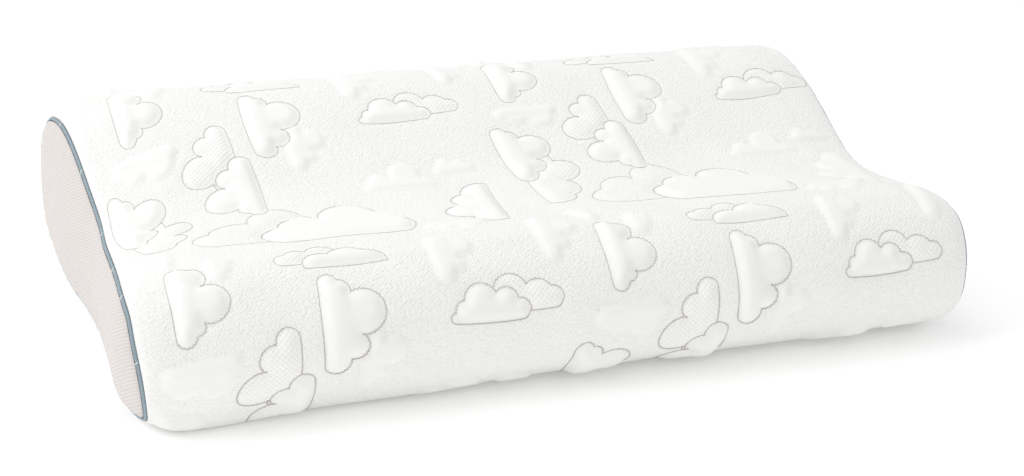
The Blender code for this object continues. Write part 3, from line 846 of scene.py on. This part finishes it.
def fill_slot(bm, loop):
    """Fill a thin loop round the middle line, from its front end to its back end, and give its faces."""
    count = len(loop)
    front = min(range(count), key=lambda i: loop[i].co.y)
    back = max(range(count), key=lambda i: loop[i].co.y)
    one = [loop[(front + k) % count] for k in range((back - front) % count + 1)]
    other = [loop[(front - k) % count] for k in range((front - back) % count + 1)]
    i = j = 0
    faces = []
    while i + j < count - 1:
        if j == len(other) - 1 or i < len(one) - 1 and one[i + 1].co.y < other[j + 1].co.y:
            corners = one[i], one[i + 1], other[j]
            i += 1
        else:
            corners = one[i], other[j + 1], other[j]
            j += 1
        if len(set(corners)) == len(corners):
            faces.append(bm.faces.new(corners))
    return faces


def fill_end(bm, loop, rings):
    """Faces over an end: bands from its loop in along the rings, and a filled slot in the middle."""
    faces = []
    for ring in rings:
        before, loop = loop, [bm.verts.new(spot) for spot in ring]
        faces += band(bm, before, loop)
    return faces + fill_slot(bm, loop)


def close_ends(cloth, section, places):
    """Weld the cloth's join underneath and close both ends behind the gussets."""
    bm = bmesh.new()
    bm.from_mesh(cloth.data)
    bmesh.ops.remove_doubles(bm, verts=bm.verts, dist=COVER_WELD)
    layer = bm.loops.layers.uv["cloth"]
    places = np.sort(np.mod(places - section.first, section.girth)) + section.first
    for _, side in ENDS:
        loop = sorted((v for v in bm.verts if v.is_boundary and v.co.x * side > 0),
                      key=lambda v: max(corner[layer].uv.y for corner in v.link_loops) % section.girth)
        groove = (GROOVE_EDGE, GROOVE_WIDTH - GROOVE_EDGE)
        rings = end_rings(section, places, side, -GROOVE_DEPTH, groove)
        rings += end_rings(section, places, side, -GUSSET_GAP, [GROOVE_WIDTH], END_LOOPS)
        for face in fill_end(bm, loop, rings):
            for corner in face.loops:
                corner[layer].uv = (OFF_MAP, OFF_MAP)
    write_mesh(bm, cloth.data)


def places_on_cloth(mesh, section):
    """Where each vertex lies on the flat cloth, and which vertices are on it at all."""
    flat = np.full((len(mesh.vertices), 2), float(OFF_MAP))
    np.maximum.at(flat, corner_vertices(mesh), corner_places(mesh))
    return flat - np.array([LENGTH / 2, -section.first]), flat[:, 0] > OFF_MAP / 2


def inflate(cover, cap):
    """Let the filling push the cloth out, by no more than the cap, and apply it."""
    before = coordinates(cover.data)
    held = cover.vertex_groups.new(name="held")
    tight = [int(i) for i in np.flatnonzero(np.abs(before[:, 0]) > LENGTH / 2 - HELD_FROM_SEAM)]
    held.add(tight, 1.0, "REPLACE")
    cloth = cover.modifiers.new("Cloth", "CLOTH")
    cloth.settings.vertex_group_mass = "held"
    for name, value in FILLING.items():
        setattr(cloth.settings, name, value)
    cloth.settings.effector_weights.gravity = 0
    cloth.collision_settings.use_collision = False
    cloth.point_cache.frame_start = 1
    cloth.point_cache.frame_end = FILLING_FRAMES
    for number in range(FILLING_FRAMES):
        bpy.context.scene.frame_set(number + 1)
    evaluated = cover.evaluated_get(bpy.context.evaluated_depsgraph_get())
    move = coordinates(evaluated.data) - before
    cover.modifiers.clear()
    bpy.context.scene.frame_set(1)
    size = np.linalg.norm(move, axis=1, keepdims=True)
    after = before + move * np.minimum(1, cap / np.maximum(size, np.finfo(float).tiny))
    after[:, 2] = np.maximum(after[:, 2], 0)
    set_coordinates(cover.data, after)


def quilt(cover, section, unevenness):
    """Raise the clouds in the cover and keep what knit lies where."""
    mesh = cover.data
    flat, on_cloth = places_on_cloth(mesh, section)
    clouds = laid_clouds(section, QUILT_STEP)
    lift, masks = relief(flat, clouds, seen_lines(clouds))
    spots, out = coordinates(mesh), read_all(mesh.vertex_normals, "vector", 3)
    from_seam = LENGTH / 2 - np.abs(flat[:, 0])
    clear = np.clip((from_seam - QUILT_FROM_SEAM) / QUILT_RAMP, 0, 1)
    clear *= np.clip(spots[:, 2] / FADE_HEIGHT, 0, 1) * on_cloth
    spots += out * ((lift + unevenness * slow_waves(flat)) * clear)[:, None]
    spots[:, 2] = np.maximum(spots[:, 2], 0)
    set_coordinates(mesh, spots)
    for name, values in masks.items():
        set_attribute(mesh, name, values * on_cloth * np.clip(from_seam / KNIT_RAMP, 0, 1))


class PILLOW_OT_cover(bpy.types.Operator):
    """Wrap, fill and quilt the knit cover"""
    bl_idname = "pillow.cover"
    bl_label = "Knit cover"

    def execute(self, context):
        section, sizes = Section(), context.scene.pillow_sizes
        deselect()
        cover, flat, places = flat_cloth(section, sizes.mesh_step)
        cover.name = "quilted_cover"
        set_coordinates(cover.data, wrap(section, *flat.T))
        close_ends(cover, section, places)
        inflate(cover, sizes.swell)
        finer = cover.modifiers.new("Finer", "SUBSURF")
        finer.levels = finer.render_levels = 1
        make_active(cover)
        bpy.ops.object.modifier_apply(modifier=finer.name)
        quilt(cover, section, sizes.unevenness)
        cover.data.shade_smooth()
        finish_piece(cover, knit_material(context.scene.pillow_colours), "knit_cover", "pillow")
        return {"FINISHED"}


# Outline thread

# Steps along the outlines, and how far the thread stays from the cover's join, from the end seams and
# from the floor. A shorter run than this many points is left out.
THREAD_STEP = 1.3 * MM
THREAD_FROM_JOIN = 3 * MM
THREAD_FROM_SEAM = 5 * MM
THREAD_FROM_FLOOR = 2.5 * MM
SHORTEST_RUN = 4
THREAD_LIFT = 0.1 * MM
THREAD_WELD = 0.01 * MM

# The thread's scallops, drawn with so many points each, and the share of a cloud's height below which
# it has none and over which they grow
SCALLOP_PITCH = 2.8 * MM
SCALLOP_HEIGHT = 0.8 * MM
SCALLOP_POINTS = 4
SCALLOPS_FROM = 0.1

# The thread sinks in and shows less by this share where it faces up, and a faint cloud's is thinner
SUNK_ON_TOP = 0.58
FAINT_WIDTH = 0.6


def cloth_finder(cover):
    """A search over the flat cloth: its triangles on the map, and where each one lies on the pillow."""
    mesh = cover.data
    mesh.calc_loop_triangles()
    loops = read_all(mesh.loop_triangles, "loops", 3, np.int32).ravel()
    flat = np.zeros((len(loops), 3))
    flat[:, :2] = corner_places(mesh)[loops]
    solid = coordinates(mesh)[corner_vertices(mesh)[loops]]
    triangles = np.arange(len(loops)).reshape(-1, 3).tolist()
    return BVHTree.FromPolygons(flat.tolist(), triangles), flat, solid


def on_pillow(finder, section, points):
    """Points of the flat cloth on the finished cover, with the outward direction at each."""
    tree, flat, solid = finder
    found = []
    for x, y in points:
        spot, _, index, _ = tree.find_nearest((x + LENGTH / 2, y - section.first, 0))
        a, b, c = (Vector(flat[3 * index + k]) for k in range(3))
        p, q, r = (Vector(solid[3 * index + k]) for k in range(3))
        out = (q - p).cross(r - p).normalized()
        found.append((barycentric_transform(spot, a, b, c, p, q, r), out))
    return found


def scalloped(cloud, run):
    """Push a line out in the small scallops that the stitches give it, except along the cloud's base."""
    travelled = np.concatenate([[0], np.cumsum(np.hypot(*np.diff(run, axis=0).T))])
    even = np.arange(0, travelled[-1], SCALLOP_PITCH / SCALLOP_POINTS)
    points = np.stack([np.interp(even, travelled, column) for column in run.T], axis=1)
    ahead = np.gradient(points, axis=0)
    aside = np.stack([-ahead[:, 1], ahead[:, 0]], axis=1) / np.hypot(*ahead.T)[:, None]
    from_base = np.clip((cloud.own_place(points)[:, 1] - SCALLOPS_FROM) / SCALLOPS_FROM, 0, 1)
    wave = SCALLOP_HEIGHT * from_base * np.abs(np.sin(math.pi * even / SCALLOP_PITCH))
    return points + aside * wave[:, None]


def runs_of(starts, ends):
    """Join pieces of line that follow on from each other into runs of points."""
    runs = []
    for start, end in zip(starts, ends):
        if runs and np.allclose(runs[-1][-1], start):
            runs[-1].append(end)
        else:
            runs.append([start, end])
    return [np.array(run) for run in runs]


def stretches(places):
    """The stretches of a line that stay clear of the floor."""
    kept = []
    for place in places:
        if place[0].z > THREAD_FROM_FLOOR:
            kept.append(place)
        elif kept:
            yield kept
            kept = []
    yield kept


class PILLOW_OT_outlines(bpy.types.Operator):
    """Lay the outline thread round the clouds"""
    bl_idname = "pillow.outlines"
    bl_label = "Outline thread"

    def execute(self, context):
        section = Section()
        finder = cloth_finder(bpy.data.objects["quilted_cover"])
        clouds = laid_clouds(section, THREAD_STEP)
        curve = thread_curve("outline_thread", context.scene.pillow_sizes.thread_radius, 0)
        for cloud, (starts, ends) in zip(clouds, seen_lines(clouds)):
            if cloud.kind not in THREADED:
                continue
            along, from_join = (starts + ends).T / 2 - [[0], [section.first]]
            kept = ((np.abs(along) < LENGTH / 2 - THREAD_FROM_SEAM) & (from_join > THREAD_FROM_JOIN)
                    & (from_join < section.girth - THREAD_FROM_JOIN))
            width = FAINT_WIDTH if cloud.kind == "faint" else 1
            for run in runs_of(starts[kept], ends[kept]):
                if len(run) < SHORTEST_RUN:
                    continue
                for places in stretches(on_pillow(finder, section, scalloped(cloud, run))):
                    if len(places) >= SHORTEST_RUN:
                        add_thread(curve, [place + out * THREAD_LIFT for place, out in places],
                                   [(1 - SUNK_ON_TOP * max(out.z, 0)) * width for _, out in places])
        thread = threads_to_mesh(curve)
        thread.data.shade_smooth()
        finish_piece(thread, thread_material(context.scene.pillow_colours), "knit_cover")
        return {"FINISHED"}


# Ends

# Puckers along a seam: how much their spacing wanders and over how many of them, and how much their
# height varies and over how many
PUCKER_SPACING = (1.7, 7)
PUCKER_HEIGHT = (0.4, 5)

# The gusset's loops next to the piping, in mm: how far in from the seam, how far its outer face dips
# there, and how high its puckers are. Then its other loops, as shares of the way to the middle line,
# the points round a loop, the puckers round its seam, and where its map starts.
GUSSET_EDGE = ((3.0, 1.8, 0.1), (4.0, 0.9, 0.25), (5.4, 0.2, 0.4), (7.0, 0, 0.3))
GUSSET_LOOPS = np.linspace(0.24, 0.97, 14)
GUSSET_POINTS = 330
GUSSET_PUCKERS = 46
GUSSET_MAP_START = 300 * MM

# The piping stands up from its groove and lies a little to the cover's side of it
PIPING_RISE = 0.8 * MM
PIPING_ASIDE = 0.3 * MM
PIPING_PUCKERS = 31
PIPING_PUCKER_HEIGHT = 0.15 * MM
PIPING_POINTS = 620
PIPING_SIDES = 12

# The stitches across the piping: the places round the seam that they are counted by, the first one and
# from one to the next. Then each one's thickness, straight pieces, degrees round the piping, slant and
# distance from it.
STITCH_PLACES = 1200
FIRST_STITCH = 17
STITCH_EVERY = 88
STITCH_RADIUS = 0.28 * MM
STITCH_PIECES = 6
STITCH_ANGLE = 140
STITCH_SLANT = 2.2 * MM
STITCH_CLEARANCE = 0.12 * MM


def pucker(share, count, height):
    """Small puckers at shares of the way round a seam, uneven in spacing and height."""
    turn = share * count * 2 * math.pi
    (wander, wander_over), (vary, vary_over) = PUCKER_SPACING, PUCKER_HEIGHT
    swell = 1 - vary + vary * np.sin(turn / vary_over + 1)
    return height * (np.sin(turn + wander * np.sin(turn / wander_over)) * swell)


def gusset_panel(section, side, name):
    """A crowned panel of mesh cloth with its thickness, inside the piping."""
    share = np.arange(GUSSET_POINTS) / GUSSET_POINTS
    places = share * section.girth
    bm = bmesh.new()
    layer = bm.loops.layers.uv.new("cloth")
    edges = []
    for outward in (GUSSET_GAP, GUSSET_GAP + GUSSET_THICKNESS):
        insets = [inset * MM for inset, _, _ in GUSSET_EDGE]
        rings = end_rings(section, places, side, outward, insets, GUSSET_LOOPS)
        if outward > GUSSET_GAP:
            for ring, (_, dip, high) in zip(rings, GUSSET_EDGE):
                ring[:, 0] += side * (pucker(share, GUSSET_PUCKERS, high * MM) - dip * MM)
        edges.append([bm.verts.new(spot) for spot in rings[0]])
        fill_end(bm, edges[-1], rings[1:])
    band(bm, *edges)
    for face in bm.faces:
        for corner in face.loops:
            corner[layer].uv = (side * corner.vert.co.y + GUSSET_MAP_START, corner.vert.co.z)
    return mesh_object(name, bm)


class PILLOW_OT_gussets(bpy.types.Operator):
    """Sew a ribbed mesh gusset into each end"""
    bl_idname = "pillow.gussets"
    bl_label = "End gussets"

    def execute(self, context):
        section = Section()
        material = gusset_material(context.scene.pillow_colours)
        for end, side in ENDS:
            panel = gusset_panel(section, side, "mesh_panel_" + end)
            finish_piece(panel, material, "spacer_mesh", "gusset_" + end)
        return {"FINISHED"}


def piping_path(section, side, radius, count):
    """The middle line of the piping, and the outward direction at each point of it."""
    share = np.arange(count) / count
    places = share * section.girth
    path = end_ring(section, places, side, inset=GROOVE_WIDTH / 2 - PIPING_ASIDE,
                    outward=radius - GROOVE_DEPTH + PIPING_RISE)
    _, _, out_y, out_z = section.at(places)
    out = np.stack([np.full(count, float(side)), out_y, out_z], axis=1) / math.sqrt(2)
    path += out * pucker(share, PIPING_PUCKERS, PIPING_PUCKER_HEIGHT)[:, None]
    return path, out


def tube(name, path, out, radius, sides):
    """A closed round tube along a closed path, mapped along and round it in metres."""
    ahead = np.roll(path, -1, axis=0) - np.roll(path, 1, axis=0)
    ahead /= np.linalg.norm(ahead, axis=1)[:, None]
    across = np.cross(ahead, out)
    across /= np.linalg.norm(across, axis=1)[:, None]
    up = np.cross(across, ahead)
    travelled = np.concatenate([[0], np.cumsum(np.linalg.norm(np.diff(path, axis=0), axis=1))])
    step, step_round = travelled[1], 2 * math.pi * radius / sides
    bm = bmesh.new()
    layer = bm.loops.layers.uv.new("cloth")
    angles = [2 * math.pi * k / sides for k in range(sides)]
    rings = [[bm.verts.new(spot + radius * (math.cos(a) * side_way + math.sin(a) * up_way))
              for a in angles] for spot, side_way, up_way in zip(path, across, up)]
    for start, ring, after in zip(travelled, rings, rings[1:] + rings[:1]):
        for k, face in enumerate(band(bm, ring, after)):
            corners = ((0, k), (0, k + 1), (1, k + 1), (1, k))
            for corner, (along, round_it) in zip(face.loops, corners):
                corner[layer].uv = (start + along * step, round_it * step_round)
    return mesh_object(name, bm)


class PILLOW_OT_piping(bpy.types.Operator):
    """Run the corded piping round each end seam, with its stitches"""
    bl_idname = "pillow.piping"
    bl_label = "Piping"

    def execute(self, context):
        section, radius = Section(), context.scene.pillow_sizes.piping_radius
        colours = context.scene.pillow_colours
        material = piping_material(colours)
        # Spun polyester, which is matt
        stitch = plain_material("sewing_thread", colours.stitch, {"Roughness": 0.7})
        for end, side in ENDS:
            path, out = piping_path(section, side, radius, PIPING_POINTS)
            cord = tube("piping_cord_" + end, path, out, radius, PIPING_SIDES)
            finish_piece(cord, material, "piping_cord", "piping_" + end)
            self.add_stitches(section, side, end, radius, stitch)
        return {"FINISHED"}

    def add_stitches(self, section, side, end, radius, material):
        """Short threads that cross the piping here and there."""
        path, out = piping_path(section, side, radius, STITCH_PLACES)
        curve = thread_curve("stitches_" + end, STITCH_RADIUS, 1)
        shares = [k / STITCH_PIECES for k in range(STITCH_PIECES + 1)]
        for start in range(FIRST_STITCH, STITCH_PLACES, STITCH_EVERY):
            ahead = path[(start + 1) % STITCH_PLACES] - path[start]
            ahead /= np.linalg.norm(ahead)
            across = np.cross(ahead, out[start])
            points = []
            for share in shares:
                angle = math.radians(STITCH_ANGLE * (share - 0.5))
                around = math.sin(angle) * across + math.cos(angle) * out[start]
                slant = ahead * (share - 0.5) * STITCH_SLANT
                points.append(path[start] + around * (radius + STITCH_CLEARANCE) + slant)
            add_thread(curve, points, [1] * len(points))
        finish_piece(threads_to_mesh(curve), material, "piping_cord")


# Stage

# The camera as in the photo: its place, the way it looks, and its focal length in pixels of the frame
CAMERA_PLACE = (-510 * MM, -1333 * MM, 656 * MM)
CAMERA_DOWN = math.radians(23.38)
CAMERA_RIGHT = math.radians(21.71)
CAMERA_ROLL = math.radians(2.93)
FOCAL_PIXELS = 2046.5
FRAME_WIDTH = 1024
SENSOR_WIDTH = 36

# name, place, aim, size, power, all in metres and watts
LIGHTS = (
    ("key_left", (-1.85, -0.2, 1.7), (0, 0, 0.05), 1.2, 16),
    ("top", (-0.3, 1.0, 2.2), (0, 0, 0), 2.0, 11),
)
STUDIO_LIGHT = 0.775

# The floor lies just under the pillow and glows a little: a painted light that keeps it white, fades the
# pillow's shadow on it and brightens the pillow's underside
FLOOR_SIZE = 14
FLOOR_DROP = 0.2 * MM
FLOOR_GLOW = 0.12


class PILLOW_OT_stage(bpy.types.Operator):
    """Add the pale floor, the soft lights and the camera"""
    bl_idname = "pillow.stage"
    bl_label = "Stage"

    def execute(self, context):
        scene = context.scene
        deselect()
        bpy.ops.mesh.primitive_plane_add(size=FLOOR_SIZE, location=(0, 0, -FLOOR_DROP))
        floor = context.object
        floor.name = "floor"
        # White paper, which is matt, with its painted glow
        floor.data.materials.append(plain_material("pale_floor", scene.pillow_colours.floor, {
            "Roughness": 0.9, "Emission Color": (1, 1, 1, 1), "Emission Strength": FLOOR_GLOW}))
        for name, place, aim, size, power in LIGHTS:
            light = bpy.data.lights.new(name, "AREA")
            light.shape = "DISK"
            light.size, light.energy = size, power
            lamp = link_object(name, light)
            lamp.location = place
            lamp.rotation_euler = (Vector(aim) - Vector(place)).to_track_quat("-Z", "Y").to_euler()
        world = bpy.data.worlds.new("studio")
        world.use_nodes = True
        set_node(world.node_tree.nodes["Background"], {"Color": (1, 1, 1, 1), "Strength": STUDIO_LIGHT})
        scene.world = world
        scene.view_settings.view_transform = "Standard"
        self.add_camera(scene)
        return {"FINISHED"}

    def add_camera(self, scene):
        camera = link_object("camera", bpy.data.cameras.new("camera"))
        camera.data.sensor_width = SENSOR_WIDTH
        camera.data.lens = FOCAL_PIXELS / FRAME_WIDTH * SENSOR_WIDTH
        level = Matrix.Rotation(math.pi / 2 - CAMERA_DOWN, 4, "X")
        turn = Matrix.Rotation(-CAMERA_RIGHT, 4, "Z")
        roll = Matrix.Rotation(CAMERA_ROLL, 4, "Z")
        camera.matrix_world = Matrix.Translation(CAMERA_PLACE) @ turn @ level @ roll
        scene.camera = camera


class PILLOW_PT_panel(bpy.types.Panel):
    """Buttons and settings of the gel pillow"""
    bl_label = "Gel pillow"
    bl_space_type = "VIEW_3D"
    bl_region_type = "UI"
    bl_category = "Gel pillow"

    def draw(self, context):
        layout = self.layout
        for operator in OPERATORS:
            layout.operator(operator.bl_idname)
        for group in (context.scene.pillow_sizes, context.scene.pillow_colours):
            for name in group.__annotations__:
                layout.prop(group, name)


OPERATORS = (PILLOW_OT_cover, PILLOW_OT_outlines, PILLOW_OT_gussets, PILLOW_OT_piping, PILLOW_OT_stage)
CLASSES = (PillowColours, PillowSizes, *OPERATORS, PILLOW_PT_panel)


def register():
    for cls in CLASSES:
        bpy.utils.register_class(cls)
    bpy.types.Scene.pillow_colours = PointerProperty(type=PillowColours)
    bpy.types.Scene.pillow_sizes = PointerProperty(type=PillowSizes)


def unregister():
    del bpy.types.Scene.pillow_colours
    del bpy.types.Scene.pillow_sizes
    for cls in reversed(CLASSES):
        bpy.utils.unregister_class(cls)


def main():
    register()
    bpy.ops.pillow.cover()
    bpy.ops.pillow.outlines()
    bpy.ops.pillow.gussets()
    bpy.ops.pillow.piping()
    bpy.ops.pillow.stage()


if __name__ == "__main__":
    main()
